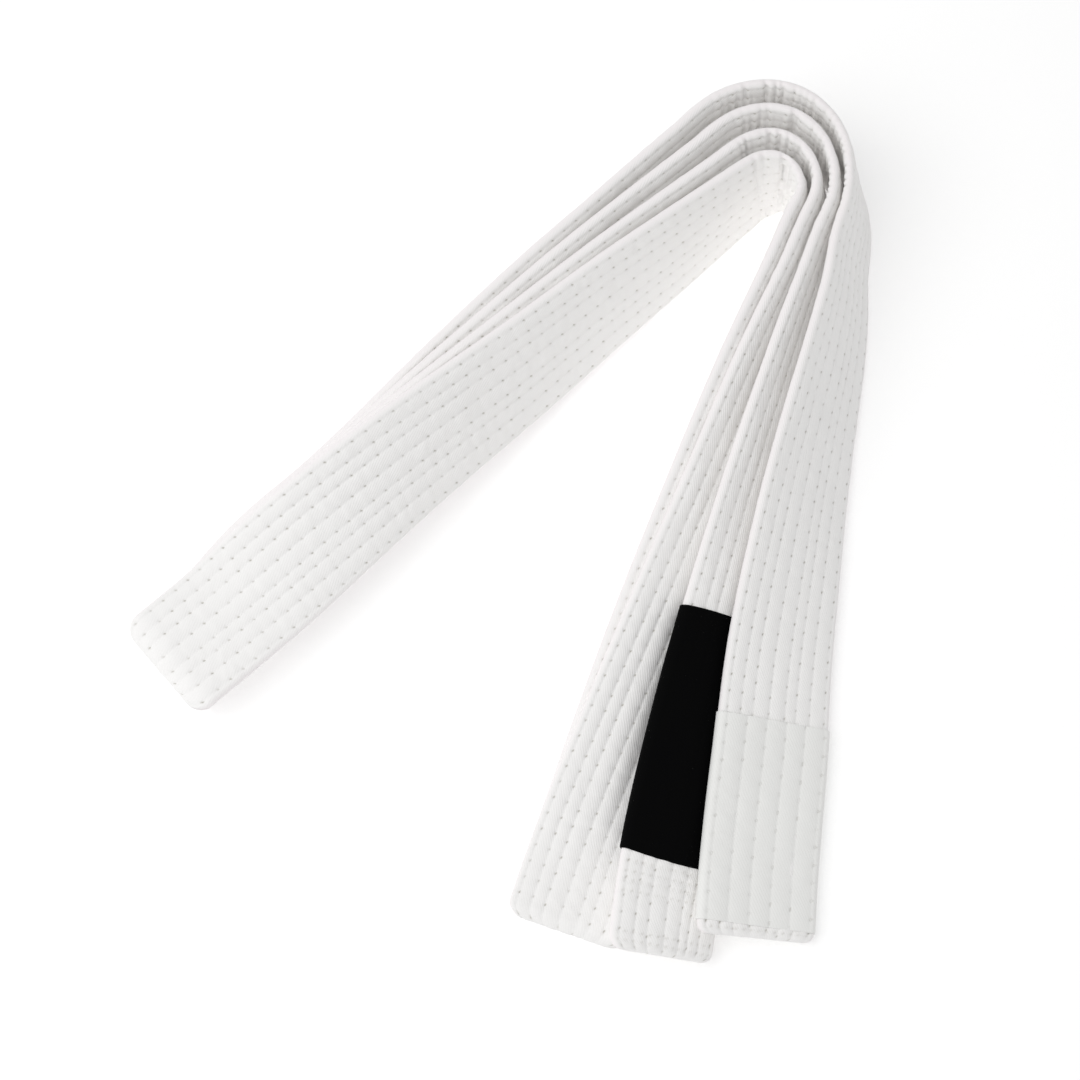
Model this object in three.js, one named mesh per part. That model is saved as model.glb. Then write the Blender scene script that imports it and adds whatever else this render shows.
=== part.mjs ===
// Quilted cotton belt with a black rank bar, folded into four strands and laid in a narrow V.
// Millimetres, +Z up. The bundle stands on its edges at the bend and lies flat at both ends.
// A place along the bundle, s, is its distance from the middle of the bend, negative on the left
// arm.
import * as THREE from "three";

// Driving dimensions
const beltWidth = 45;
const beltThickness = 4.4;
const coverWall = 0.8;
const clearance = 0.3;
const leftLength = 284;
const rightLength = 283;
const bendRadius = 12.6;
const leftHeading = 41; // degrees from +X, walking up the left arm
const rightHeading = -108.8; // degrees from +X, walking down the right arm
const barLength = 91;
const barToTip = 34;
const labelLength = 74;
const labelToTip = 4;
const sleeveWall = 0.6;
const labelTipBack = 15; // the label tip stops this far short of the half fold
const barTipBeyond = 2; // and the bar tip lies this far past it
const liftAboveLabel = 16; // the label end bends up this far above its label
const cutLeft = 62; // where the left arm's pieces meet the bend's
const cutRight = 46;
const barLap = 8; // bar strand over the folded pair, at the tips
const labelLap = 12; // label strand over the bar strand, at the tips
const barSlope = 21; // degrees that the bar strand slopes at its tip
const labelSlope = 16.5;
const stackCreep = 1.2; // sideways step of each layer at the left folds
const standsBelow = 28; // degrees of lean below which the left arm stands on its edges
const pilesAbove = 64; // degrees of lean above which its strands lie in a pile

const layer = beltThickness + clearance;
const degree = Math.PI / 180;
const turn = (leftHeading - rightHeading) * degree;
const halfArc = (bendRadius * turn) / 2;
const leftEnd = -halfArc - leftLength;
const rightEnd = halfArc + rightLength;
const labelTip = rightEnd - labelTipBack;
const barTip = rightEnd + barTipBeyond;
const labelEnd = labelTip - labelToTip;
const labelStart = labelEnd - labelLength;
const barEnd = barTip - barToTip;
const barStart = barEnd - barLength;
const liftPlace = labelStart - liftAboveLabel;

// A smooth curve through [place, value] pairs, level before the first and after the last.
function curveThrough(pairs) {
  const slope = (i) => {
    if (i === 0 || i === pairs.length - 1) return 0;
    return (pairs[i + 1][1] - pairs[i - 1][1]) / (pairs[i + 1][0] - pairs[i - 1][0]);
  };
  return (s) => {
    const found = pairs.findIndex((pair) => pair[0] > s);
    const i = found < 0 ? pairs.length - 1 : Math.max(found, 1);
    const [s0, v0] = pairs[i - 1];
    const [s1, v1] = pairs[i];
    const span = s1 - s0;
    const u = THREE.MathUtils.clamp((s - s0) / span, 0, 1);
    const level = v0 + (v1 - v0) * u * u * (3 - 2 * u);
    return level + span * u * (1 - u) * (slope(i - 1) * (1 - u) - slope(i) * u);
  };
}

// Places given as shares of an arm: negative on the left one, positive on the right one.
function armCurve(pairs) {
  return curveThrough(pairs.map(([share, value]) => [
    share < 0 ? -share * leftEnd : share * rightEnd,
    value,
  ]));
}

// Lean of the bundle from upright, in degrees: 90 lies flat with the inner faces up, and -90
// with the outer faces up.
const leanCurve = armCurve([
  [-1, 90],
  [-0.93, 90],
  [-0.77, 63],
  [-0.62, 48],
  [-0.46, 36],
  [-0.28, 26],
  [-0.1, 14],
  [-0.03, 8],
  [0, -4],
  [0.035, -15],
  [0.065, -20],
  [0.12, -24],
  [0.2, -31],
  [0.33, -41],
  [0.46, -52],
  [0.6, -65],
  [0.73, -77],
  [0.86, -87],
  [0.94, -90],
  [1, -90],
]);
const bundleLean = (s) => THREE.MathUtils.clamp(leanCurve(s), -90, 90);

// How much flatter the folded pair lies than the strands on top of it.
const pairLean = armCurve([
  [-1, 0],
  [0.12, 0],
  [0.3, 6],
  [0.5, 6],
  [0.7, 3.5],
  [0.85, 1],
  [1, 0],
]);

// How far the whole bundle strays outwards from its two straight lines and arc.
const sway = armCurve([
  [-1, 2.4],
  [-0.5, 2.4],
  [-0.28, 2.6],
  [-0.1, 0.8],
  [0, -0.4],
  [0.05, 0],
  [0.3, 0],
  [0.75, -1.8],
  [1, -2.2],
]);

// Room between neighbours on top of one layer, from the innermost pair outwards. Down the right
// arm the two outer strands spread until each laps the one under it by a named amount.
const barSpread = beltWidth - barLap;
const labelSpread = beltWidth - labelLap;
const spareRoom = [
  [
    [-1, 0],
    [-0.5, 0.3],
    [-0.28, 1.2],
    [-0.1, 3],
    [-0.02, 4],
    [0.04, 1.2],
    [0.15, 0.6],
    [0.7, 0.6],
    [0.9, 0],
    [1, 0],
  ],
  [
    [-1, 0],
    [-0.5, 0.6],
    [-0.28, 2.5],
    [-0.1, 5],
    [-0.02, 5.8],
    [0.04, 1.8],
    [0.15, 2.6],
    [0.33, barSpread * 0.14],
    [0.46, barSpread * 0.24],
    [0.6, barSpread * 0.39],
    [0.75, barSpread * 0.6],
    [0.9, barSpread * 0.84],
    [1, barSpread],
    [1.1, barSpread * 1.16],
  ],
  [
    [-1, 0],
    [-0.5, 0.5],
    [-0.28, 1.6],
    [-0.1, 4.6],
    [-0.02, 5],
    [0.04, 1],
    [0.15, 5],
    [0.33, labelSpread * 0.25],
    [0.46, labelSpread * 0.33],
    [0.6, labelSpread * 0.48],
    [0.75, labelSpread * 0.72],
    [0.9, labelSpread * 0.92],
    [1, labelSpread],
    [1.1, labelSpread * 1.06],
  ],
].map(armCurve);

// Strands, counted from the inside of the bend.
const inner = 0;
const third = 1;
const second = 2;
const outer = 3;
const slopeAtTip = [0, 0, barSlope, labelSlope];

// Two strands stop leaning where they reach their own slope; the folded pair goes on to flat.
function strandLean(strand, s) {
  const lean = bundleLean(s);
  if (!slopeAtTip[strand]) return Math.max(lean - pairLean(s), -90);
  const limit = slopeAtTip[strand] - 90;
  const softness = 8;
  return limit + softness * Math.log1p(Math.exp((lean - limit) / softness));
}

// One layer, and a little more where the left arm twists down into its pile.
const twistRoom = armCurve([
  [-1, 0],
  [-0.93, 0.15],
  [-0.85, 0.3],
  [-0.7, 0.2],
  [-0.4, 0],
  [1, 0],
]);
const layerAt = (s) => layer + twistRoom(s);

// How far each strand slides across the face of its neighbour: up it where the bundle stands, so
// that the lower edges stay near the ground, and down it where the left arm lies in a pile.
function slide(s) {
  const lean = bundleLean(s) * degree;
  const standing = layerAt(s) * Math.sin(lean) * Math.cos(lean);
  if (lean <= 0) return standing;
  const settled = (layerAt(s) * Math.cos(lean)) / Math.tan(lean);
  const piled = stackCreep * Math.sin(lean) ** 4 - settled;
  return THREE.MathUtils.lerp(
    standing,
    piled,
    THREE.MathUtils.smoothstep(bundleLean(s), standsBelow, pilesAbove),
  );
}
const stepDown = (s) => {
  const lean = bundleLean(s) * degree;
  return layerAt(s) * Math.sin(lean) - slide(s) * Math.cos(lean);
};
const stepOut = (pair, s) => {
  const lean = bundleLean(s) * degree;
  return layerAt(s) * Math.cos(lean) + slide(s) * Math.sin(lean) + spareRoom[pair](s);
};

// The strands with sleeves ride on them, so they rise by a sleeve before they reach it.
const sleeveRise = curveThrough([
  [halfArc, 0],
  [barStart - barLap, sleeveWall + 2 * clearance],
]);
function lift(strand, s) {
  const down = stepDown(s);
  if (down > 0) return (outer - strand) * down;
  if (strand === inner) return 0;
  return strand === third ? -down : sleeveRise(s);
}

// The middle of a strand's thickness and width at one place.
function centreOf(strand, s) {
  const onArc = THREE.MathUtils.clamp(s, -halfArc, halfArc);
  const heading = (leftHeading + rightHeading) * 0.5 * degree - (onArc / halfArc) * (turn / 2);
  let reach = bendRadius + sway(s);
  for (let pair = 0; pair < strand; pair += 1) reach += stepOut(pair, s);
  const lean = strandLean(strand, s) * degree;
  return new THREE.Vector3(
    -reach * Math.sin(heading) + (s - onArc) * Math.cos(heading),
    reach * Math.cos(heading) + (s - onArc) * Math.sin(heading),
    lift(strand, s) + ((beltWidth - beltThickness) / 2) * Math.cos(lean) + beltThickness / 2,
  );
}

// A cross-section's place: centre, direction across the width, direction through the thickness.
function sectionAt(strand, s) {
  const before = centreOf(strand, s - 0.5);
  const along = centreOf(strand, s + 0.5).sub(before).normalize();
  const outwards = new THREE.Vector3(-along.y, along.x, 0).normalize();
  const lean = strandLean(strand, s) * degree;
  const across = outwards.multiplyScalar(Math.sin(lean)).setZ(Math.cos(lean));
  const through = along.clone().cross(across).normalize();
  return { centre: centreOf(strand, s), across: through.clone().cross(along), through };
}

function placesBetween(from, to, steps) {
  return Array.from({ length: steps + 1 }, (_, i) => from + ((to - from) * i) / steps);
}

// The turn between two strands that lie flat on each other, from one section to the other.
function foldSections(from, to, direction, steps) {
  const middle = from.centre.clone().add(to.centre).multiplyScalar(0.5);
  const rise = from.centre.clone().sub(middle);
  const radius = Math.abs(rise.z);
  const inset = Math.asin(clearance / 2 / radius);
  return placesBetween(inset, Math.PI - inset, steps).map((angle) => {
    const centre = middle.clone().addScaledVector(rise, Math.cos(angle));
    centre.addScaledVector(direction, radius * Math.sin(angle));
    const along = direction.clone().multiplyScalar(Math.cos(angle));
    along.z = -Math.sign(rise.z) * Math.sin(angle);
    return { centre, across: from.across, through: along.cross(from.across) };
  });
}

// A flat band's outline with round edges, anticlockwise.
function bandOutline(width, thickness, edgeSteps) {
  const radius = thickness / 2;
  const points = [];
  for (const side of [1, -1]) {
    for (let i = 0; i <= edgeSteps; i += 1) {
      const angle = (i / edgeSteps - 0.5) * Math.PI;
      const x = side * (width / 2 - radius + radius * Math.cos(angle));
      points.push(new THREE.Vector2(x, side * radius * Math.sin(angle)));
    }
  }
  return points;
}

const outlineOf = (grow, edgeSteps) =>
  bandOutline(beltWidth + 2 * grow, beltThickness + 2 * grow, edgeSteps);
const coverOutline = outlineOf(0, 4);
const hollowOutline = outlineOf(-coverWall, 2);
const coreOutline = outlineOf(-coverWall - clearance, 2);
const sleeveHole = outlineOf(clearance, 4);
const sleeveOutline = outlineOf(clearance + sleeveWall, 4);

// A closed skin through the sections. With a hollow it is a tube, open at its first end and at
// its last one too unless that end is closed.
function loft(sections, outline, hollow = null, closedEnd = false) {
  const positions = [];
  const triangles = [];
  const addRings = (rings, shape) => {
    const first = positions.length / 3;
    for (const { centre, across, through } of rings) {
      for (const point of shape) {
        const corner = centre.clone().addScaledVector(across, point.x);
        corner.addScaledVector(through, point.y);
        positions.push(corner.x, corner.y, corner.z);
      }
    }
    return first;
  };
  const addWall = (first, count, rings, inwards) => {
    for (let ring = 0; ring < rings - 1; ring += 1) {
      for (let i = 0; i < count; i += 1) {
        const a = first + ring * count + i;
        const b = first + ring * count + ((i + 1) % count);
        const [c, d] = [b + count, a + count];
        triangles.push(...(inwards ? [a, c, b, a, d, c] : [a, b, c, a, c, d]));
      }
    }
  };
  const addCap = (shape, hole, names, backwards) => {
    for (const [a, b, c] of THREE.ShapeUtils.triangulateShape(shape, hole)) {
      triangles.push(names(a), names(backwards ? c : b), names(backwards ? b : c));
    }
  };

  const outside = addRings(sections, outline);
  const lastRing = outside + (sections.length - 1) * outline.length;
  addWall(outside, outline.length, sections.length, false);
  if (!hollow) {
    addCap(outline, [], (i) => outside + i, true);
    addCap(outline, [], (i) => lastRing + i, false);
  } else {
    const hollowSections = closedEnd ? sections.slice(0, -1) : sections;
    const inside = addRings(hollowSections, hollow);
    const lastInside = inside + (hollowSections.length - 1) * hollow.length;
    addWall(inside, hollow.length, hollowSections.length, true);
    const named = (ring, hollowRing) => (i) =>
      i < outline.length ? ring + i : hollowRing + i - outline.length;
    addCap(outline, [hollow], named(outside, inside), true);
    if (closedEnd) {
      addCap(outline, [], (i) => lastRing + i, false);
      addCap(hollow, [], (i) => lastInside + i, true);
    } else {
      addCap(outline, [hollow], named(lastRing, lastInside), false);
    }
  }
  const geometry = new THREE.BufferGeometry();
  geometry.setAttribute("position", new THREE.Float32BufferAttribute(positions, 3));
  geometry.setIndex(triangles);
  return geometry;
}

const cloth = (color) => () =>
  new THREE.MeshStandardMaterial({ color, roughness: 0.9, metalness: 0, flatShading: true });
const whiteTwill = cloth(0xf1f0ef);
const cottonBatting = cloth(0xe6e1d6);
const blackSateen = cloth(0x0b0b0c);
const whiteLabel = cloth(0xf4f3f2);

const belt = new THREE.Group();
function add(name, geometry, material) {
  const mesh = new THREE.Mesh(geometry, material());
  mesh.name = name;
  belt.add(mesh);
}

// One length of belt: the cover as a tube, with the batting inside it.
function addLength(name, sections, closedEnd = false) {
  add(`${name}_cover`, loft(sections, coverOutline, hollowOutline, closedEnd), whiteTwill);
  const filled = closedEnd ? sections.slice(0, -2) : sections;
  add(`${name}_core`, loft(filled, coreOutline), cottonBatting);
}

const seam = clearance / 2;
const leftPlaces = [leftEnd, ...placesBetween(leftEnd * 0.93, -cutLeft - seam, 18)];
const bendPlaces = [
  ...placesBetween(-cutLeft + seam, -halfArc, 4),
  ...placesBetween(-halfArc, halfArc, 8).slice(1),
  ...placesBetween(halfArc, cutRight - seam, 3).slice(1),
];
const barPlaces = placesBetween(barStart, barEnd, 6);
const labelPlaces = placesBetween(labelStart, labelEnd, 4);
const tipWall = [coverWall + clearance, coverWall, 0]; // where the batting and the hollow stop
const strandNames = ["inner", "third", "second", "outer"];
for (const strand of [inner, third, second, outer]) {
  const sections = (places) => places.map((s) => sectionAt(strand, s));
  const name = strandNames[strand];
  addLength(`${name}_left`, sections(leftPlaces));
  addLength(`${name}_bend`, sections(bendPlaces));
  if (strand === outer) {
    addLength("outer_right", sections(placesBetween(cutRight + seam, liftPlace - seam, 7)));
    const tip = tipWall.map((back) => labelTip - back);
    addLength("label_end", sections([liftPlace + seam, ...labelPlaces, ...tip]), true);
  } else if (strand === second) {
    const body = placesBetween(cutRight + seam, barStart, 6).slice(0, -1);
    const tip = tipWall.map((back) => barTip - back);
    addLength("bar_end", sections([...body, ...barPlaces, ...tip]), true);
  } else {
    const body = placesBetween(cutRight + seam, rightEnd * 0.94, 11);
    addLength(`${name}_right`, sections([...body, rightEnd]));
  }
}

// Folds
function addFold(name, from, to, s, steps) {
  const beyond = sectionAt(from, s).centre.sub(sectionAt(from, s - Math.sign(s)).centre);
  const direction = beyond.setZ(0).normalize();
  addLength(name, foldSections(sectionAt(from, s), sectionAt(to, s), direction, steps));
}
addFold("outer_fold", inner, outer, leftEnd, 10);
addFold("inner_fold", third, second, leftEnd, 6);
addFold("half_fold", third, inner, rightEnd, 6);

// Sleeves sewn round the belt
const sleeve = (strand, places) =>
  loft(places.map((s) => sectionAt(strand, s)), sleeveOutline, sleeveHole);
add("rank_bar", sleeve(second, barPlaces), blackSateen);
add("blank_label", sleeve(outer, labelPlaces), whiteLabel);

// The origin is the middle of the box that the belt fills, on the surface it lies on.
const box = new THREE.Box3().setFromObject(belt);
const middle = box.getCenter(new THREE.Vector3()).setZ(box.min.z);
belt.position.copy(middle).negate();

export default belt;
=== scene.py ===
import math

import bpy
import numpy as np
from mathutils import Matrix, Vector


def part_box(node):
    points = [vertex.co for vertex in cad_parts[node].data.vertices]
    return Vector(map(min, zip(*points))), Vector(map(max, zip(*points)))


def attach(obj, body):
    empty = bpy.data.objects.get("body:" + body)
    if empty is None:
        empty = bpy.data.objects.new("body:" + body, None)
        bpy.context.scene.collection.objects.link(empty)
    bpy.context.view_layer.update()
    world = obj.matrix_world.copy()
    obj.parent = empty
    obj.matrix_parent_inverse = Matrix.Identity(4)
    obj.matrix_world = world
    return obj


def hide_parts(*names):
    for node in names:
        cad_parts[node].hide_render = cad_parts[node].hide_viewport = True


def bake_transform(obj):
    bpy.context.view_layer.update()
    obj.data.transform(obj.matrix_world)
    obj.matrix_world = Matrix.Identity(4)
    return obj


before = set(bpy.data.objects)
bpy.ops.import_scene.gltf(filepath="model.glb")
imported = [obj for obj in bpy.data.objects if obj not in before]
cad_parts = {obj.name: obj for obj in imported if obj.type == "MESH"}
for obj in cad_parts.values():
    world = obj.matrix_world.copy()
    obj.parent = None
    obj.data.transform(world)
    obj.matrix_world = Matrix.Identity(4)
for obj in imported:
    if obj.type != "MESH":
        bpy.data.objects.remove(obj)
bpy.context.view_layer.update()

scene = bpy.context.scene
mm = 0.001
degree = math.pi / 180

# How the belt lies, in millimetres and degrees: the same numbers as the CAD part
lay = {
    "width": 45.0,
    "thickness": 4.4,
    "clearance": 0.3,
    "leftLength": 284.0,
    "rightLength": 283.0,
    "bendRadius": 12.6,
    "leftHeading": 41.0,
    "rightHeading": -108.8,
    "barLength": 91.0,
    "barToTip": 34.0,
    "barTipBeyond": 2.0,
    "labelLength": 74.0,
    "labelToTip": 4.0,
    "labelTipBack": 15.0,
    "liftAboveLabel": 16.0,
    "sleeveWall": 0.6,
    "barLap": 8.0,
    "labelLap": 12.0,
    "barSlope": 21.0,
    "labelSlope": 16.5,
    "stackCreep": 1.2,
    "standsBelow": 28.0,
    "pilesAbove": 64.0,
}
halfWidth = lay["width"] / 2
layer = lay["thickness"] + lay["clearance"]
turn = (lay["leftHeading"] - lay["rightHeading"]) * degree
halfArc = lay["bendRadius"] * turn / 2
leftEnd = -halfArc - lay["leftLength"]
rightEnd = halfArc + lay["rightLength"]
labelTip = rightEnd - lay["labelTipBack"]
barTip = rightEnd + lay["barTipBeyond"]
labelEnd = labelTip - lay["labelToTip"]
labelStart = labelEnd - lay["labelLength"]
barEnd = barTip - lay["barToTip"]
barStart = barEnd - lay["barLength"]
liftPlace = labelStart - lay["liftAboveLabel"]
inner, third, second, outer = range(4)


# A smooth curve through pairs of place and value, level at both ends
def curveThrough(pairs):
    places, values = np.array(pairs, float).T
    slopes = np.zeros(len(places))
    slopes[1:-1] = (values[2:] - values[:-2]) / (places[2:] - places[:-2])

    def at(s):
        s = np.asarray(s, float)
        i = np.clip(np.searchsorted(places, s, side="right"), 1, len(places) - 1)
        span = places[i] - places[i - 1]
        u = np.clip((s - places[i - 1]) / span, 0, 1)
        level = values[i - 1] + (values[i] - values[i - 1]) * u * u * (3 - 2 * u)
        return level + span * u * (1 - u) * (slopes[i - 1] * (1 - u) - slopes[i] * u)

    return at


# The same, with places as shares of the left arm (below 0) and of the right arm
def armCurve(pairs):
    return curveThrough([(-p * leftEnd if p < 0 else p * rightEnd, v) for p, v in pairs])


def smoothStep(x, low, high):
    u = np.clip((x - low) / (high - low), 0, 1)
    return u * u * (3 - 2 * u)


# How far the bundle leans from standing on its edges, in degrees: flat at both ends
leanCurve = armCurve([
    (-1, 90), (-0.93, 90), (-0.77, 63), (-0.62, 48), (-0.46, 36), (-0.28, 26), (-0.1, 14),
    (-0.03, 8), (0, -4), (0.035, -15), (0.065, -20), (0.12, -24), (0.2, -31), (0.33, -41),
    (0.46, -52), (0.6, -65), (0.73, -77), (0.86, -87), (0.94, -90), (1, -90),
])
pairLean = armCurve([(-1, 0), (0.12, 0), (0.3, 6), (0.5, 6), (0.7, 3.5), (0.85, 1), (1, 0)])
sway = armCurve([
    (-1, 2.4), (-0.5, 2.4), (-0.28, 2.6), (-0.1, 0.8), (0, -0.4), (0.05, 0), (0.3, 0),
    (0.75, -1.8), (1, -2.2),
])
twistRoom = armCurve([(-1, 0), (-0.93, 0.15), (-0.85, 0.3), (-0.7, 0.2), (-0.4, 0), (1, 0)])
barSpread = lay["width"] - lay["barLap"]
labelSpread = lay["width"] - lay["labelLap"]
spareRoom = [armCurve(pairs) for pairs in (
    [(-1, 0), (-0.5, 0.3), (-0.28, 1.2), (-0.1, 3), (-0.02, 4), (0.04, 1.2), (0.15, 0.6),
     (0.7, 0.6), (0.9, 0), (1, 0)],
    [(-1, 0), (-0.5, 0.6), (-0.28, 2.5), (-0.1, 5), (-0.02, 5.8), (0.04, 1.8), (0.15, 2.6),
     (0.33, barSpread * 0.14), (0.46, barSpread * 0.24), (0.6, barSpread * 0.39),
     (0.75, barSpread * 0.6), (0.9, barSpread * 0.84), (1, barSpread), (1.1, barSpread * 1.16)],
    [(-1, 0), (-0.5, 0.5), (-0.28, 1.6), (-0.1, 4.6), (-0.02, 5), (0.04, 1), (0.15, 5),
     (0.33, labelSpread * 0.25), (0.46, labelSpread * 0.33), (0.6, labelSpread * 0.48),
     (0.75, labelSpread * 0.72), (0.9, labelSpread * 0.92), (1, labelSpread),
     (1.1, labelSpread * 1.06)],
)]
slopeAtTip = [0, 0, lay["barSlope"], lay["labelSlope"]]
sleeveRise = curveThrough([
    (halfArc, 0),
    (barStart - lay["barLap"], lay["sleeveWall"] + 2 * lay["clearance"]),
])


def bundleLean(s):
    return np.clip(leanCurve(s), -90, 90)


def strandLean(strand, s):
    lean = bundleLean(s)
    if not slopeAtTip[strand]:
        return np.maximum(lean - pairLean(s), -90)
    limit = slopeAtTip[strand] - 90
    softness = 8  # degrees over which the lean stops at its limit
    return limit + softness * np.log1p(np.exp((lean - limit) / softness))


# Where the strands stand they lie face to face; where they pile up they slide over each other
def slide(s):
    lean = bundleLean(s) * degree
    step = layer + twistRoom(s)
    standing = step * np.sin(lean) * np.cos(lean)
    safe = np.where(lean > 0.2, lean, 0.2)
    piled = lay["stackCreep"] * np.sin(safe) ** 4 - step * np.cos(safe) / np.tan(safe)
    pile = smoothStep(lean / degree, lay["standsBelow"], lay["pilesAbove"])
    return standing + (piled - standing) * pile


def stepDown(s):
    lean = bundleLean(s) * degree
    return (layer + twistRoom(s)) * np.sin(lean) - slide(s) * np.cos(lean)


def stepOut(pair, s):
    lean = bundleLean(s) * degree
    step = (layer + twistRoom(s)) * np.cos(lean)
    return step + slide(s) * np.sin(lean) + spareRoom[pair](s)


def lift(strand, s):
    down = stepDown(s)
    rise = (0 * s, -down, sleeveRise(s), sleeveRise(s))[strand]
    return np.where(down > 0, (outer - strand) * down, rise)


def centreOf(strand, s):
    onArc = np.clip(s, -halfArc, halfArc)
    middle = (lay["leftHeading"] + lay["rightHeading"]) / 2 * degree
    heading = middle - onArc / halfArc * turn / 2
    reach = lay["bendRadius"] + sway(s)
    for pair in range(strand):
        reach = reach + stepOut(pair, s)
    lean = strandLean(strand, s) * degree
    along = s - onArc
    rise = (lay["width"] - lay["thickness"]) / 2 * np.cos(lean) + lay["thickness"] / 2
    return np.stack([
        -reach * np.sin(heading) + along * np.cos(heading),
        reach * np.cos(heading) + along * np.sin(heading),
        lift(strand, s) + rise,
    ], -1)


def unit(v):
    return v / np.linalg.norm(v, axis=-1, keepdims=True)


# Centre, direction across the width and direction through the thickness, at each place
def sectionsAt(strand, s):
    s = np.asarray(s, float)
    along = unit(centreOf(strand, s + 0.5) - centreOf(strand, s - 0.5))
    flat = unit(np.stack([-along[:, 1], along[:, 0], 0 * s], -1))
    lean = (strandLean(strand, s) * degree)[:, None]
    across = flat * np.sin(lean) + np.array([0, 0, 1.0]) * np.cos(lean)
    through = unit(np.cross(along, across))
    return [centreOf(strand, s), np.cross(through, along), through]


# A half turn from one strand's end up or down to another's
def foldSections(fromStrand, toStrand, end, steps):
    start = [x[0] for x in sectionsAt(fromStrand, [end])]
    finish = [x[0] for x in sectionsAt(toStrand, [end])]
    before = sectionsAt(fromStrand, [end - np.sign(end)])[0][0]
    direction = unit((start[0] - before) * [1, 1, 0])
    middle = (start[0] + finish[0]) / 2
    rise = start[0] - middle
    radius = abs(rise[2])
    angles = np.linspace(0, math.pi, steps + 1)[:, None]
    centre = middle + rise * np.cos(angles) + direction * radius * np.sin(angles)
    along = direction * np.cos(angles)
    along[:, 2] = -np.sign(rise[2]) * np.sin(angles[:, 0])
    across = np.repeat(start[1][None], steps + 1, 0)
    return [centre, across, unit(np.cross(along, across))]


# How a strand is drawn: close rings, with extra columns beside each row of stitches
strandLook = {"ringStep": 0.75, "edgeSteps": 7, "foldRings": 16, "outerFoldRings": 26}

# The cloth evens out its own bend, so sections are averaged with their neighbours just past
# the bend's middle, and at a share of the left arm where the pile turns flat
evened = {"bendPlace": 18.0, "bendReach": 34.0, "leftShare": 0.92, "leftReach": 0.05}


def relaxed(sections, places, reach):
    rings = reach / strandLook["ringStep"]
    offsets = np.arange(-int(3 * rings), int(3 * rings) + 1)
    weights = np.exp(-0.5 * (offsets / rings) ** 2)
    weights = weights / weights.sum()
    nearBend = np.exp(-(((places - evened["bendPlace"]) / evened["bendReach"]) ** 4))
    nearLeft = np.exp(-(((places / leftEnd - evened["leftShare"]) / evened["leftReach"]) ** 4))
    share = np.clip(nearBend + nearLeft, 0, 1)[:, None]
    index = np.clip(np.arange(len(places))[:, None] + offsets, 0, len(places) - 1)
    centre, across, through = sections
    soft = (centre[index] * weights[None, :, None]).sum(1)
    softAcross = unit((across[index] * weights[None, :, None]).sum(1))
    softThrough = unit((through[index] * weights[None, :, None]).sum(1))
    across = unit(across + (softAcross - across) * share)
    through = unit(through + (softThrough - through) * share)
    through = unit(through - across * (through * across).sum(1)[:, None])
    return [centre + (soft - centre) * share, across, through]


def backwards(sections):
    return [sections[0][::-1], sections[1][::-1], -sections[2][::-1]]


def joined(*parts):
    return [np.concatenate([p[i] if k == 0 else p[i][1:] for k, p in enumerate(parts)])
            for i in range(3)]


# A flat band's outline with round edges: place across, place through, and the way out
def bandOutline(width, thickness, faceX, edgeSteps):
    radius = thickness / 2
    rows = []
    for side in (1, -1):
        for i in range(edgeSteps + 1):
            angle = (i / edgeSteps - 0.5) * math.pi
            x = side * (width / 2 - radius + radius * math.cos(angle))
            rows.append((x, side * radius * math.sin(angle),
                         side * math.cos(angle), side * math.sin(angle)))
        inside = [x for x in faceX if abs(x) < width / 2 - radius - 0.05]
        for x in sorted(inside, reverse=side > 0):
            rows.append((x, side * radius, 0, side))
    return np.array(rows)


def ringPoints(sections, outline):
    centre, across, through = (x[:, None, :] for x in sections)
    return centre + across * outline[:, :, None, 0] + through * outline[:, :, None, 1]


# The CAD group's own shift, found from a node whose corners these formulas repeat exactly
cadBar = {"rings": 7, "edgeSteps": 4}
sleeveGrow = lay["clearance"] + lay["sleeveWall"]
cadOutline = bandOutline(lay["width"] + 2 * sleeveGrow, lay["thickness"] + 2 * sleeveGrow, (),
                         cadBar["edgeSteps"])
cadPoints = ringPoints(sectionsAt(second, np.linspace(barStart, barEnd, cadBar["rings"])),
                       cadOutline[None].repeat(cadBar["rings"], 0)).reshape(-1, 3)
barLow, barHigh = (np.array(corner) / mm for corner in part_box("rank_bar"))
partShift = barLow - cadPoints.min(0)
print("shift", partShift.round(3), "spread", (barHigh - cadPoints.max(0) - partShift).round(3))


# Camera: straight ahead, from 73 degrees up
view = {"elevation": 73.0, "distance": 1.0, "lens": 87.72, "fromArc": (-91.5, -125.6)}
target = Vector(((partShift[0] + view["fromArc"][0]) * mm,
                 (partShift[1] + view["fromArc"][1]) * mm, 0))
tilt = view["elevation"] * degree
camera = bpy.data.objects.new("camera", bpy.data.cameras.new("camera"))
camera.data.lens = view["lens"]
camera.location = target + Vector((0, -math.cos(tilt), math.sin(tilt))) * view["distance"]
camera.rotation_euler = (math.pi / 2 - tilt, 0, 0)
scene.collection.objects.link(camera)
scene.camera = camera
scene.view_settings.view_transform = "Standard"
scene.cycles.diffuse_bounces = 12  # enough for light to reach down between white strands
print("camera ready")


def linearColour(hexColour):
    channels = [int(hexColour[i:i + 2], 16) / 255 for i in (0, 2, 4)]
    return [c / 12.92 if c <= 0.04045 else ((c + 0.055) / 1.055) ** 2.4 for c in channels] + [1]


def addNode(material, kind, settings=None, links=None):
    node = material.node_tree.nodes.new(kind)
    for key, value in (settings or {}).items():
        if isinstance(key, int) or (isinstance(key, str) and key in node.inputs):
            node.inputs[key].default_value = value
        else:
            setattr(node, key, value)
    for key, source in (links or {}).items():
        material.node_tree.links.new(source, node.inputs[key])
    return node


def newMaterial(name):
    material = bpy.data.materials.new(name)
    material.use_nodes = True
    material.node_tree.nodes.clear()
    return material


wavePeriod = 0.314  # of a wave texture at scale 1


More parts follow.
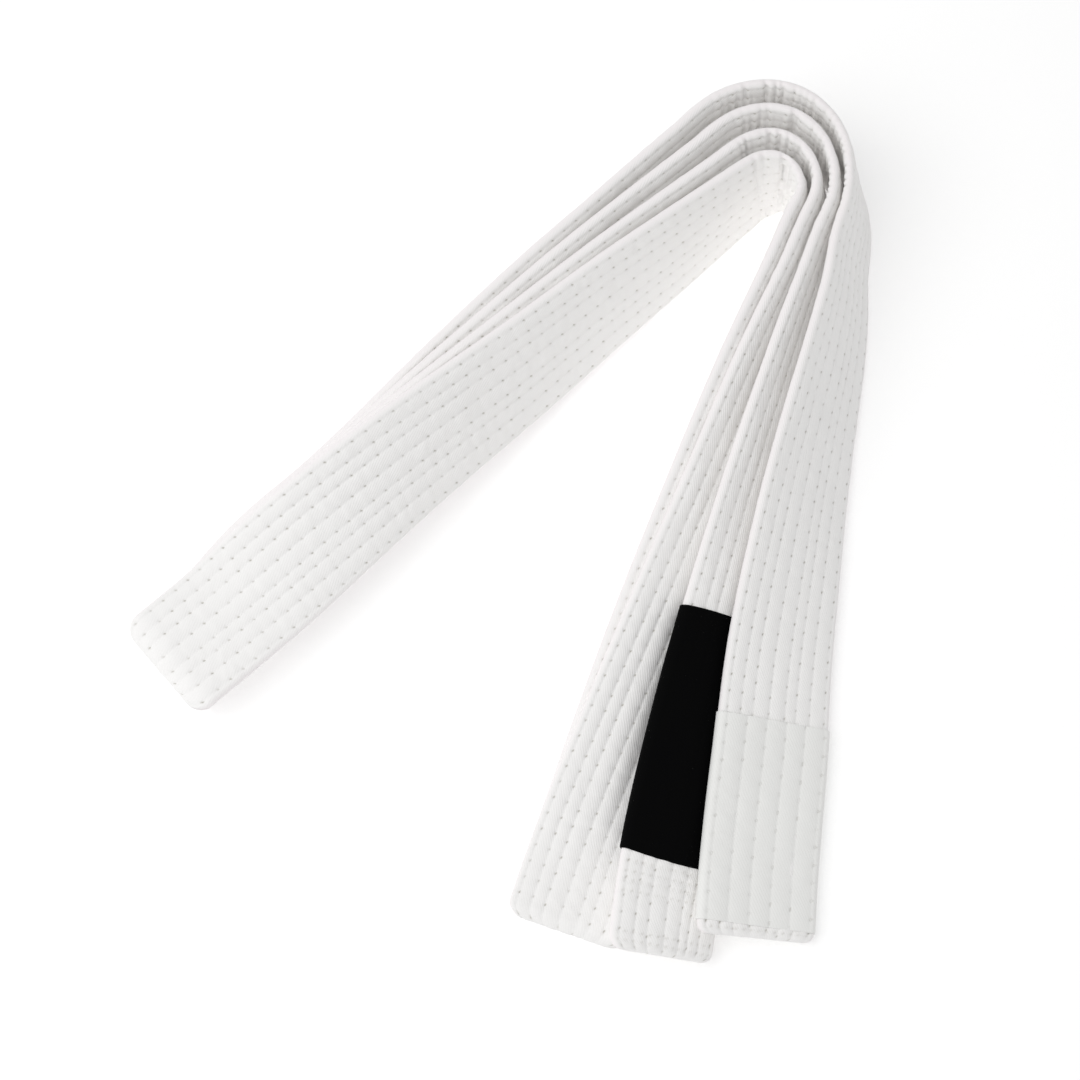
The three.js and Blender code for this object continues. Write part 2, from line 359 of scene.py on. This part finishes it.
# Bleached cotton twill, quilted: matt, off-white, fine diagonal ribs with painted shade in their
# grooves, needle holes greyed with painted shade
def makeTwill(name, look):
    material = newMaterial(name)
    place = addNode(material, "ShaderNodeUVMap", {"uv_map": "beltMap"}).outputs[0]
    turned = addNode(material, "ShaderNodeMapping", {"Rotation": (0, 0, -60 * degree)},
                     {"Vector": place}).outputs[0]
    rib = addNode(material, "ShaderNodeTexWave", {
        "Scale": wavePeriod / (look["ribGap"] * mm), "Distortion": 2.4, "Detail": 3.0,
        "Detail Scale": 0.8}, {"Vector": turned})
    yarn = addNode(material, "ShaderNodeTexNoise", {
        "Scale": 1 / (look["yarnGap"] * mm), "Detail": 3.0}, {"Vector": place})
    cloud = addNode(material, "ShaderNodeTexNoise", {
        "Scale": 1 / (look["wornPatch"] * mm), "Detail": 2.0}, {"Vector": place})
    paintedHoleShade = addNode(material, "ShaderNodeAttribute", {"attribute_name": "paintedHoleShade"})
    rim = addNode(material, "ShaderNodeAttribute", {"attribute_name": "rim"})
    base = addNode(material, "ShaderNodeMix", {
        "data_type": "RGBA", 6: linearColour(look["cloth"]), 7: linearColour(look["worn"])},
        {0: cloud.outputs["Fac"]})
    # the rib wave also tints the colour, darker in the rib grooves and lighter on the crests:
    # painted shade and painted highlight
    ribShaded = addNode(material, "ShaderNodeMix", {
        "data_type": "RGBA", "blend_type": "MULTIPLY", 0: 0.2},
        {6: base.outputs[2], 7: addNode(material, "ShaderNodeMapRange", {
            "To Min": 0.93, "To Max": 1.02}, {"Value": rib.outputs["Fac"]}).outputs[0]})
    edged = addNode(material, "ShaderNodeMix", {
        "data_type": "RGBA", 7: linearColour(look["rim"])},
        {0: rim.outputs["Fac"], 6: ribShaded.outputs[2]})
    # the needle holes are greyed in the colour: painted shade in the holes
    holeShaded = addNode(material, "ShaderNodeMix", {
        "data_type": "RGBA", 7: linearColour(look["hole"])},
        {0: paintedHoleShade.outputs["Fac"], 6: edged.outputs[2]})
    ribBump = addNode(material, "ShaderNodeBump", {
        "Distance": look["ribHeight"] * mm, "Strength": 0.7}, {"Height": rib.outputs["Fac"]})
    yarnBump = addNode(material, "ShaderNodeBump", {"Distance": 0.12 * mm, "Strength": 0.5},
                       {"Height": yarn.outputs["Fac"], "Normal": ribBump.outputs[0]})
    rough = addNode(material, "ShaderNodeMapRange", {"To Min": 0.82, "To Max": 0.96},
                    {"Value": yarn.outputs["Fac"]})
    shader = addNode(material, "ShaderNodeBsdfPrincipled", {
        "IOR": 1.46, "Specular IOR Level": 0.25, "Sheen Weight": 0.12, "Sheen Roughness": 0.5},
        {"Base Color": holeShaded.outputs[2], "Roughness": rough.outputs[0],
         "Normal": yarnBump.outputs[0]})
    addNode(material, "ShaderNodeOutputMaterial", None, {"Surface": shader.outputs[0]})
    return material


# Real twill ribs lie about 0.45 mm apart; drawn 0.9 mm apart or more, or they would not show
# hole is the grey painted into the needle holes: painted shade
clothLook = {"cloth": "FAF9F8", "worn": "F7F6F5", "rim": "FBF6F7", "hole": "BDBAB0",
             "ribGap": 0.9, "ribHeight": 0.07, "yarnGap": 1.1, "wornPatch": 26.0}
cottonTwill = makeTwill("bleachedCottonTwill", clothLook)
# hole is the grey painted into the label's needle holes: painted shade
labelLook = {"cloth": "F5F5F3", "worn": "F2F2F0", "rim": "F5F4F3", "hole": "A5A297",
             "ribGap": 1.0, "ribHeight": 0.05, "yarnGap": 1.1, "wornPatch": 26.0}
labelTwill = makeTwill("whiteLabelTwill", labelLook)


# Black cotton sateen: deep black, close smooth weave, a soft broad sheen, hardly any gloss
def makeSateen(name, look):
    material = newMaterial(name)
    place = addNode(material, "ShaderNodeUVMap", {"uv_map": "beltMap"}).outputs[0]
    yarn = addNode(material, "ShaderNodeTexNoise", {
        "Scale": 1 / (look["yarnGap"] * mm), "Detail": 4.0}, {"Vector": place})
    rib = addNode(material, "ShaderNodeTexWave", {
        "Scale": wavePeriod / (look["ribGap"] * mm), "Distortion": 1.0, "Detail": 2.0},
        {"Vector": place})
    colour = addNode(material, "ShaderNodeMix", {
        "data_type": "RGBA", 6: linearColour(look["cloth"]), 7: linearColour(look["worn"])},
        {0: yarn.outputs["Fac"]})
    ribBump = addNode(material, "ShaderNodeBump", {
        "Distance": look["ribHeight"] * mm, "Strength": 0.5}, {"Height": rib.outputs["Fac"]})
    yarnBump = addNode(material, "ShaderNodeBump", {"Distance": 0.1 * mm, "Strength": 0.6},
                       {"Height": yarn.outputs["Fac"], "Normal": ribBump.outputs[0]})
    rough = addNode(material, "ShaderNodeMapRange", {"To Min": 0.7, "To Max": 0.9},
                    {"Value": yarn.outputs["Fac"]})
    shader = addNode(material, "ShaderNodeBsdfPrincipled", {
        "IOR": 1.46, "Specular IOR Level": 0.06, "Sheen Weight": 0.004, "Sheen Roughness": 0.4},
        {"Base Color": colour.outputs[2], "Roughness": rough.outputs[0],
         "Normal": yarnBump.outputs[0]})
    addNode(material, "ShaderNodeOutputMaterial", None, {"Surface": shader.outputs[0]})
    return material


# A sateen's lines are finer than this; drawn 0.8 mm apart, or they would not show
sateenLook = {"cloth": "010101", "worn": "060607", "ribGap": 0.8, "ribHeight": 0.05,
              "yarnGap": 0.9}
blackSateen = makeSateen("blackCottonSateen", sateenLook)
print("materials ready")


# Smooth noise from a seeded lattice, for undulations in the padding
def latticeNoise(x, y, seed):
    wide, high = 97, 89  # primes, so that the repeat does not show
    lattice = np.random.default_rng(seed).uniform(-1, 1, (wide, high))
    x, y = np.broadcast_arrays(x, y)
    i, j = np.floor(x).astype(int), np.floor(y).astype(int)
    u, v = x - i, y - j
    u, v = u * u * (3 - 2 * u), v * v * (3 - 2 * v)
    a, b = lattice[i % wide, j % high], lattice[(i + 1) % wide, j % high]
    c, d = lattice[i % wide, (j + 1) % high], lattice[(i + 1) % wide, (j + 1) % high]
    return (a * (1 - u) + b * u) * (1 - v) + (c * (1 - u) + d * u) * v


# Quilting: eight rows of lockstitch, with padding puffed up between them
quilt = {
    "rows": (-19.8, -13.7, -8.0, -3.5, 3.0, 9.5, 14.5, 19.8),  # mm from the middle
    "pitch": 6.0,  # between needle holes
    "puff": 0.55,  # how high the padding stands between rows
    "sewnIn": 0.62,  # share of that height by which the rows pull the cloth in
    "holeDepth": 0.34,
    "holeAcross": 0.36,
    "holeAlong": 0.42,
    "pucker": 0.2,
    "slant": 0.2,
    "ridge": 0.1,  # between the holes of a row
    "channel": 6.3,  # a usual gap between rows, which puffs up fully
    "edge": 23.2,  # where the outermost channels end, just past the belt's edge
    "flatFrom": 22.4,  # beyond this the quilting only follows the edge
    "crossHoles": 3.1,  # between holes in the rows sewn across a tip
    "seed": 11,
}


# Height of the quilted face, and how far each point lies in a needle hole, which sets the painted
# shade there
def quiltHeight(length, x, rows=quilt["rows"], pitch=quilt["pitch"]):
    x = np.clip(x, -quilt["flatFrom"], quilt["flatFrom"])
    rows = np.array(rows)
    seed = quilt["seed"]
    edges = np.concatenate([[-quilt["edge"]], rows, [quilt["edge"]]])
    channel = np.clip(np.searchsorted(edges, x, side="right") - 1, 0, len(edges) - 2)
    low, high = edges[channel], edges[channel + 1]
    u = np.clip((x - low) / (high - low), 0, 1)
    crown = (1 - np.abs(2 * u - 1) ** 2.4) * np.minimum((high - low) / quilt["channel"], 1.1)
    crown = np.where(np.abs(x) > rows[-1], 0.75 * crown, crown)
    nearest = np.abs(x[..., None] - rows).argmin(-1)
    away = x - rows[nearest]
    stagger = np.random.default_rng(seed).uniform(0, 1, len(rows))[nearest]
    phase = (length / pitch + np.round(stagger * 8) / 8) % 1.0
    fromHole = np.minimum(phase, 1 - phase) * pitch
    hole = np.exp(-(away / quilt["holeAcross"]) ** 2 - (fromHole / quilt["holeAlong"]) ** 2)
    bridge = 0.5 - 0.5 * np.cos(2 * math.pi * phase)
    nearRow = np.exp(-(away / 1.5) ** 2)
    pucker = latticeNoise(length / 2.6, x / 8.0, seed + 1)
    swell = latticeNoise(length / 11.0, x / 9.0, seed + 2)
    height = quilt["puff"] * (crown * (1 + 0.25 * swell) - quilt["sewnIn"])
    height = height + quilt["pucker"] * pucker * (0.35 + 0.65 * crown)
    height = height + quilt["ridge"] * nearRow * (bridge - 0.5)
    # slanting puckers that the machine's feed leaves between the rows
    slant = latticeNoise((length + 0.55 * x) / 2.1, x / 5.0 + 7, seed + 5)
    patches = smoothStep(latticeNoise(length / 30.0, x / 14.0, seed + 6), -0.2, 0.6)
    height = height + quilt["slant"] * slant * crown * patches
    # some holes pull tight and close: the painted shade in the holes varies at random from hole to
    # hole
    closed = smoothStep(latticeNoise(length / 3.7, x / 3.1, seed + 7), -0.6, 0.5)
    return height - quilt["holeDepth"] * hole, hole * (0.45 + 0.55 * closed)


# Columns beside each row of stitches, and three between each two rows
def columnsFor(rows):
    beside = {round(r + d, 3) for r in rows for d in (-1.1, -0.5, 0, 0.5, 1.1)}
    between = {round(r + (n - r) * k / 4, 3)
               for r, n in zip(rows, rows[1:]) for k in (1.4, 2, 2.6)}
    return sorted(beside | between)


faceX = columnsFor(quilt["rows"])


# A mesh from rings of points, capped at both ends or joined round into one closed wall
def makeMesh(name, points, uv, values, closeRings=False):
    rings, around = points.shape[:2]
    index = np.arange(rings * around).reshape(rings, around)
    if closeRings:
        index = np.concatenate([index, index[:1]])
    right = np.roll(index, -1, 1)
    faces = np.stack([index[:-1], right[:-1], right[1:], index[1:]], -1).reshape(-1, 4)
    caps = []
    if not closeRings:
        for ring, flip in ((0, False), (rings - 1, True)):
            for quad in capStrip(around):
                quad = [ring * around + q for q in quad]
                caps.append(quad if flip else quad[::-1])
    allFaces = [tuple(f) for f in faces.tolist()] + [tuple(dict.fromkeys(c)) for c in caps]
    mesh = bpy.data.meshes.new(name)
    mesh.from_pydata((points.reshape(-1, 3) + partShift) * mm, [], allFaces)
    mesh.polygons.foreach_set("use_smooth", np.ones(len(mesh.polygons), bool))
    for key, value in values.items():
        attribute = mesh.attributes.new(key, "FLOAT", "POINT")
        attribute.data.foreach_set("value", value.reshape(-1).astype(np.float32))
    if not closeRings:
        ends = np.zeros(len(mesh.edges) * 2, int)
        mesh.edges.foreach_get("vertices", ends)
        ring = ends.reshape(-1, 2) // around
        closing = (ring[:, 0] == ring[:, 1]) & ((ring[:, 0] == 0) | (ring[:, 0] == rings - 1))
        sharp = mesh.attributes.new("sharp_edge", "BOOLEAN", "EDGE")
        sharp.data.foreach_set("value", closing)
    layerUv = mesh.uv_layers.new(name="beltMap")
    corner = np.zeros(len(mesh.loops), int)
    mesh.loops.foreach_get("vertex_index", corner)
    flatUv = uv.reshape(-1, 2)[corner]
    # the column that closes each ring goes on past the last one, and does not jump back
    faceCount = len(faces)
    last = (np.arange(faceCount) % around) == around - 1
    corners = flatUv[:faceCount * 4].reshape(faceCount, 4, 2)
    corners[last, 1:3, 1] += uv[0, -1, 1] + (uv[0, 1, 1] - uv[0, 0, 1])
    flatUv[:faceCount * 4] = corners.reshape(-1, 2)
    layerUv.data.foreach_set("uv", flatUv.reshape(-1).astype(np.float32))
    piece = bpy.data.objects.new(name, mesh)
    scene.collection.objects.link(piece)
    return piece


# An edge's arc runs from one face to the other, so it pairs with itself
def arcStrip(first, last):
    quads = []
    while last - first >= 2:
        between = (first + 1,) if last - first == 2 else (first + 1, last - 1)
        quads.append((first, *between, last))
        first, last = first + 1, last - 1
    return quads


# Quads that bridge the outline's top to its bottom, point by point
def capStrip(around):
    half = around // 2
    e = strandLook["edgeSteps"]
    inside = half - e - 1
    lower = [0] + [around - 1 - k for k in range(inside)] + [half + e]
    upper = [e] + [e + 1 + k for k in range(inside)] + [half]
    across = [(lower[k + 1], lower[k], upper[k], upper[k + 1]) for k in range(len(lower) - 1)]
    return arcStrip(0, e) + across + arcStrip(half, half + e)


# Distance run along a line of points, from its first one
def runAlong(line):
    return np.concatenate([[0], np.cumsum(np.linalg.norm(np.diff(line, axis=0), axis=1))])


# Lengths along a strand, in whole ring steps on its arms so that needle holes land on rings
def lengthsOf(centre):
    step = strandLook["ringStep"]
    run = np.linalg.norm(np.diff(centre, axis=0), axis=1)
    whole = np.abs(run / step - 1) < 0.35
    lengths = np.concatenate([[0], np.cumsum(np.where(whole, step, run))])
    return lengths - lengths[whole.argmax()], run.sum()


# How far a rounded corner draws the edge in, at a distance back from the end
def roundedCorner(back, radius):
    return radius - np.sqrt(radius ** 2 - np.clip(radius - back, 0, radius) ** 2)


# Sharp creases at the bend: place along the bundle, and depth
creases = {
    inner: ((-8.0, 0.5), (-5.8, 1.9), (-4.9, 1.5), (-4.0, 1.7), (-1.5, 0.5)),
    third: ((-9.6, 1.0), (-7.6, 1.3), (-2.6, 1.0)),
    second: ((-9.8, 0.6), (-5.2, 1.7), (1.0, 0.8)),
    outer: ((-8.8, 1.7), (-6.9, 1.4), (-1.0, 0.7)),
}


# Puckers across the inside of the bend, and the sharp creases where it turns fastest
gather = {"gap": 3.1, "depth": 0.9, "across": 0.6, "creaseAcross": 0.8,
          "middle": -1.0, "reach": 17.0, "tightest": -12.5, "tightReach": 4.5}


def bendCreases(strand, seed, longways, x, inside, places, inwards):
    s = places[:, None]
    gap = gather["gap"]
    phase = (longways / gap + 0.3 * latticeNoise(longways / 5.0, 0 * x + seed, 29)) % 1.0
    fold = np.exp(-(np.minimum(phase, 1 - phase) * gap / gather["across"]) ** 2)
    strength = smoothStep(latticeNoise(longways / 4.0, x / 25.0 + seed, 31), -0.7, 0.6)
    bend = np.exp(-(((s - gather["middle"]) / gather["reach"]) ** 4))
    gathered = 1 + 1.3 * np.exp(-(((s - gather["tightest"]) / gather["tightReach"]) ** 2))
    depths = gather["depth"] * gathered * fold * strength * bend
    for place, depth in creases[strand] if places.min() < 0 else ():
        at = np.interp(place, places[::inwards], longways[::inwards, 0])
        bent = 0.8 * latticeNoise(x / 9.0, 0 * x + place, 43)
        away = (longways - at - bent) / gather["creaseAcross"]
        depths = depths + depth * np.exp(-away ** 2)
    return depths * np.clip(inside + 0.5, 0, 1) * (0.35 + 0.65 * smoothStep(x, -12, 10))


# Rows sewn across a tip: each pulls a groove in, with holes along it that get painted shade
crossRow = {"grooveDepth": 0.22, "grooveAcross": 0.8, "holeDepth": 0.14, "holeAcross": 0.5,
            "holeShade": 0.4}


def sewAcross(rows, back, x, onFace, height, hole):
    gap = quilt["crossHoles"]
    for row in rows:
        away = np.abs(back - row)
        across = np.abs((x / gap + 0.3 * row) % 1 - 0.5) * gap
        holeAcross = crossRow["holeAcross"]
        spot = np.exp(-((away / holeAcross) ** 2) - ((across / holeAcross) ** 2)) * (onFace > 0.98)
        groove = np.exp(-((away / crossRow["grooveAcross"]) ** 2)) * onFace
        height = height - crossRow["grooveDepth"] * groove - crossRow["holeDepth"] * spot
        hole = np.maximum(hole, crossRow["holeShade"] * spot)
    return height, hole


# A tip closes to a thin rounded end, with its corners drawn in
def closeTip(tip, back, x, y):
    thin = np.sqrt(np.clip(1 - (1 - np.clip(back / (lay["thickness"] / 2), 0, 1)) ** 2, 0, 1))
    x = x * (1 - (roundedCorner(back, tip["corner"]) + 0.6 * (1 - thin)) / halfWidth)
    pinched = x * (1 - tip["pinch"] * smoothStep(-back, -38, -6))
    return np.where(x < 0, pinched, x), y * (0.06 + 0.94 * thin)


foldCorner = 5.0  # radius of a fold's corners
clothGap = 0.1  # how much thinner a strand is drawn than its space


# A length of quilted belt. inwards is the side of the outline that faces into the bend
def makeStrand(name, strand, sections, places, inwards, startLength=0.0, tip=None, fromCrest=None):
    length, cutLength = lengthsOf(sections[0])
    length = length + startLength
    outline = bandOutline(lay["width"], lay["thickness"] - clothGap, faceX,
                          strandLook["edgeSteps"])
    x = outline[None, :, 0] + 0 * length[:, None]
    y = outline[None, :, 1] + 0 * length[:, None]
    longways = length[:, None] + 0 * x
    height, hole = quiltHeight(longways, x)
    onFace = np.abs(outline[None, :, 3]) ** 2
    hole = hole * (onFace > 0.98)
    height = np.where(onFace > 0.98, height, height * onFace)
    strandSeed = sum(map(ord, name)) % 50
    inside = outline[None, :, 3] * inwards
    height = height - bendCreases(strand, strandSeed, longways, x, inside, places, inwards)
    wave = latticeNoise(longways / 40.0, x / 60.0, 41) * 0.25
    s = places[:, None]
    if tip:
        height, hole = sewAcross(tip["rows"], tip["end"] - s, x, onFace, height, hole)
    if fromCrest is not None:
        # a fold pulls its quilting flat and rounds its corners
        height = height * smoothStep(fromCrest, -2.5, 5.0)[:, None]
        x = x * (1 - roundedCorner(fromCrest, foldCorner)[:, None] / halfWidth)
    x = x + outline[None, :, 2] * height
    y = y + outline[None, :, 3] * height + wave
    y = y - archOf(strand, s) * (1 - (x / halfWidth) ** 2)
    y = y + dipOf(strand, s, x, outline[None, :, 3])
    if tip:
        x, y = closeTip(tip, tip["end"] - s, x, y)
    points = ringPoints(sections, np.stack([x, y], -1))
    around = runAlong(outline[:, :2])
    uv = np.stack([longways * mm, around[None, :] * mm + 0 * longways], -1)
    onEdge = np.abs(outline[None, :, 0]) > quilt["rows"][-1]
    rim = 0 * x + (1 - np.abs(outline[None, :, 3])) * onEdge
    # the holes' mask goes on the mesh for the material, which greys the cloth there: painted shade
    piece = makeMesh(name, points, uv, {"paintedHoleShade": hole, "rim": rim})
    piece.data.materials.append(cottonTwill)
    return piece, length[-1]


# The bar strand rolls down towards both edges: how far its middle stands proud
arch = {"height": 1.5, "beforeBar": 40.0, "pastBarStart": 20.0}


def archOf(strand, s):
    if strand != second:
        return 0 * s
    return arch["height"] * smoothStep(s, barStart - arch["beforeBar"],
                                       barStart + arch["pastBarStart"])


# The pair under the bar strand sags where that strand presses on it
sag = curveThrough([(barStart - 4, 0), (barStart + 14, 3.4), (barStart + 30, 3.2),
                    (barStart + 50, 1.9), (barStart + 70, 0.9), (barEnd, 0)])
dip = {"middle": -6.0, "across": 5.5, "faceShare": 0.6, "faceMiddle": -5.0, "faceAcross": 4.5}


def dipOf(strand, s, x, side):
    if strand not in (inner, third):
        return 0 * x
    both = np.exp(-(((x - dip["middle"]) / dip["across"]) ** 2))
    face = dip["faceShare"] * np.exp(-(((x - dip["faceMiddle"]) / dip["faceAcross"]) ** 2))
    return sag(s) * (both + face * np.clip(-side, 0, 1) * (strand == third))


# Places whose rings lie evenly along the strand's own length
def ringPlaces(strand, start, end, step=strandLook["ringStep"]):
    fine = np.linspace(start, end, max(3, int(abs(end - start) * 8)))
    run = runAlong(centreOf(strand, fine))
    count = max(1, int(round(run[-1] / step)))
    return np.interp(np.linspace(0, run[-1], count + 1), run, fine)


# The same, closing up over the last few millimetres before a tip
def endPlaces(strand, start, end):
    closing, rings = 3, 8
    body = ringPlaces(strand, start, end - closing)
    return np.concatenate([body, end - closing * (1 - np.linspace(0, 1, rings + 1)[1:]) ** 2])


# How far each ring lies from the crest of the fold after it, which wraps so many layers
def crestGap(places, steps, layers):
    reach = lay["thickness"] / 2 + layers * layer / 2
    rise = np.sin(np.linspace(0, math.pi, steps + 1)[1:])
    return np.concatenate([0 * places + reach, reach * (1 - rise)])


# How far each side of the hinge the cloth would turn with the arms, and along what heading:
# bendLine is made from these, but nothing uses it, and acrossBend only bakes each strand's
# transform
bendBlend = {"height": 22.0, "heading": -34.0, "halfLength": 25.0}
bendHeading = bendBlend["heading"] * degree
bendLine = Vector((math.cos(bendHeading), math.sin(bendHeading), 0))
bendLine = bendLine * (bendBlend["halfLength"] * mm)


def acrossBend(piece):
    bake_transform(piece)


def cadNodes(*names):
    return [f"{name}_{part}" for name in names for part in ("cover", "core")]


foldRings = strandLook["foldRings"]
outerFoldRings = strandLook["outerFoldRings"]

# Outer strand, from the left folds round the bend to where the label end begins
places = ringPlaces(outer, leftEnd, liftPlace)
outerSections = relaxed(sectionsAt(outer, places), places, 4.0)
outerStrand, outerLength = makeStrand("outerStrand", outer, outerSections, places, 1)
acrossBend(outerStrand)
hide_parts(*cadNodes("outer_left", "outer_bend", "outer_right"))

# Label end: the last of the outer strand, which lifts
labelTipLook = {"end": labelTip, "corner": 3.5, "rows": (2.4,), "pinch": 0}
liftBlend = {"length": 12.0, "ringsAhead": 6}
places = endPlaces(outer, liftPlace, labelTip)
labelSections = sectionsAt(outer, places)
labelStrand, _ = makeStrand("labelEnd", outer, labelSections, places, 1, outerLength, labelTipLook)
labelCentre = labelSections[0]
liftAlong = Vector(unit(labelCentre[liftBlend["ringsAhead"]] - labelCentre[0]))
liftAlong = liftAlong * (liftBlend["length"] * mm)
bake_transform(labelStrand)
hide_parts(*cadNodes("label_end"))

# Inner strand, from the right end back round the bend and through the outer fold
places = ringPlaces(inner, rightEnd, leftEnd)
body = relaxed(sectionsAt(inner, places[::-1]), places[::-1], 5.0)
sections = joined(backwards(body), foldSections(inner, outer, leftEnd, outerFoldRings))
innerStrand, _ = makeStrand("innerStrand", inner, sections,
                            np.concatenate([places, np.full(outerFoldRings, leftEnd)]), -1,
                            fromCrest=crestGap(places, outerFoldRings, 3))
acrossBend(innerStrand)
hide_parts(*cadNodes("inner_left", "inner_bend", "inner_right", "outer_fold"))

# Third strand, from its left end round the bend and through the half fold
places = ringPlaces(third, leftEnd, rightEnd)
sections = joined(relaxed(sectionsAt(third, places), places, 4.0),
                  foldSections(third, inner, rightEnd, foldRings))
thirdStrand, _ = makeStrand("thirdStrand", third, sections,
                            np.concatenate([places, np.full(foldRings, rightEnd)]), 1,
                            fromCrest=crestGap(places, foldRings, 1))
acrossBend(thirdStrand)
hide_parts(*cadNodes("third_left", "third_bend", "third_right", "half_fold"))

# Second strand, through the inner fold and round the bend to the tip below the bar
barTipLook = {"end": barTip, "corner": 5.0, "pinch": 0.2,
              "rows": (2.8, 6.0, 20.0, 23.3, 26.6, 30.0)}
places = endPlaces(second, leftEnd, barTip)
sections = joined(foldSections(third, second, leftEnd, foldRings),
                  relaxed(sectionsAt(second, places), places, 4.0))
barStrand, _ = makeStrand("barStrand", second, sections,
                          np.concatenate([np.full(foldRings, leftEnd), places]), 1,
                          tip=barTipLook, fromCrest=crestGap(places, foldRings, 1)[::-1])
acrossBend(barStrand)
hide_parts(*cadNodes("second_left", "second_bend", "bar_end", "inner_fold"))
print("strands ready")


# A sleeve sewn round the belt: a closed wall that follows the strand
def makeSleeve(name, strand, start, end, look, material):
    gap, wall, soft = look["gap"], look["wall"], look["soft"]
    quarter = np.linspace(0, math.pi / 2, 5)
    rise = [(start + soft * (1 - math.sin(a)), gap + wall * math.cos(a)) for a in quarter[:0:-1]]
    body = [(s, gap + wall) for s in ringPlaces(strand, start + soft, end - soft)]
    drop = [(end - soft * (1 - math.sin(a)), gap + wall * math.cos(a)) for a in quarter[1:]]
    back = [(s, gap) for s in ringPlaces(strand, end, start, 3.0)[1:-1]]
    s, grow = np.array(rise + body + drop + back).T
    outline = bandOutline(lay["width"], lay["thickness"] - clothGap, columnsFor(look["rows"]),
                          strandLook["edgeSteps"])
    x = outline[None, :, 0] + outline[None, :, 2] * grow[:, None]
    y = outline[None, :, 1] + outline[None, :, 3] * grow[:, None]
    bulge = 1 - (x / halfWidth) ** 2
    longways = s[:, None] + 0 * x
    evenly = strandLook["ringStep"] * np.arange(len(s))[:, None] + 0 * x
    height, hole = quiltHeight(evenly, x, look["rows"], look["pitch"])
    onFace = np.abs(outline[None, :, 3]) > 0.99
    onTop = (grow > gap + 0.3 * wall)[:, None]
    height = np.where(onFace & onTop, height * look["quiltShare"], 0)
    y = y + outline[None, :, 3] * height - archOf(strand, longways) * bulge
    # its ends bow outwards, most in the middle of its width
    sections = sectionsAt(strand, s)
    along = unit(np.cross(sections[1], sections[2]))
    points = ringPoints(sections, np.stack([x, y], -1))
    endShare = np.clip((s - (start + end) / 2) / ((end - start) / 2), -1, 1) ** 5
    points = points + (along * endShare[:, None])[:, None, :] * (look["bow"] * bulge)[..., None]
    uv = np.stack([longways * mm, runAlong(outline[:, :2])[None, :] * mm + 0 * longways], -1)
    # the sleeve's needle holes get painted shade, at the look's share
    hole = np.where(onFace & onTop, hole, 0) * look["holeShare"]
    piece = makeMesh(name, points, uv, {"paintedHoleShade": hole, "rim": 0 * hole}, closeRings=True)
    piece.data.materials.append(material)
    return piece


barLook = {"gap": 0.2, "wall": 0.55, "soft": 0.5, "bow": 1.5, "quiltShare": 0.16,
           "holeShare": 0.1, "rows": quilt["rows"], "pitch": quilt["pitch"]}
rankBar = makeSleeve("rankBar", second, barStart, barEnd, barLook, blackSateen)
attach(rankBar, "right_arm")
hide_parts("rank_bar")

patchLook = {"gap": 0.2, "wall": 0.4, "soft": 0.25, "bow": 0, "quiltShare": 0.8,
             "holeShare": 1.0, "rows": (-20.0, -12.0, -4.2, 3.8, 11.8, 19.8), "pitch": 6.75}
blankLabel = makeSleeve("blankLabel", outer, labelStart, labelEnd, patchLook, labelTwill)
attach(blankLabel, "label_end")
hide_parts("blank_label")
print("sleeves ready")


# Floor and light: white card, a big soft light from the upper left, pale surroundings
studio = {"floorHalf": 12.0, "floor": "FBFBFB", "floorGlow": 0.18, "worldStrength": 0.605,
          "keyPower": 7.6, "keySize": 1.3, "keyPlace": (-0.64, -0.14, 1.1)}
half = studio["floorHalf"]
mesh = bpy.data.meshes.new("floorCard")
mesh.from_pydata([(-half, -half, 0), (half, -half, 0), (half, half, 0), (-half, half, 0)],
                 [], [(0, 1, 2, 3)])
floorCard = bpy.data.objects.new("floorCard", mesh)
scene.collection.objects.link(floorCard)
card = newMaterial("whiteCard")
shader = addNode(card, "ShaderNodeBsdfPrincipled", {
    "Base Color": linearColour(studio["floor"]), "Roughness": 0.95, "Specular IOR Level": 0.1,
    "Emission Color": linearColour("FFFFFF"), "Emission Strength": studio["floorGlow"]})
addNode(card, "ShaderNodeOutputMaterial", None, {"Surface": shader.outputs[0]})
floorCard.data.materials.append(card)

world = bpy.data.worlds.new("paleRoom")
scene.world = world
world.use_nodes = True
world.node_tree.nodes["Background"].inputs[0].default_value = (1, 1, 1, 1)
world.node_tree.nodes["Background"].inputs[1].default_value = studio["worldStrength"]
key = bpy.data.objects.new("keyLight", bpy.data.lights.new("keyLight", "AREA"))
key.data.size = studio["keySize"]
key.data.energy = studio["keyPower"]
key.location = studio["keyPlace"]
key.rotation_euler = (-Vector(studio["keyPlace"])).to_track_quat("-Z", "Y").to_euler()
scene.collection.objects.link(key)
print("studio ready")
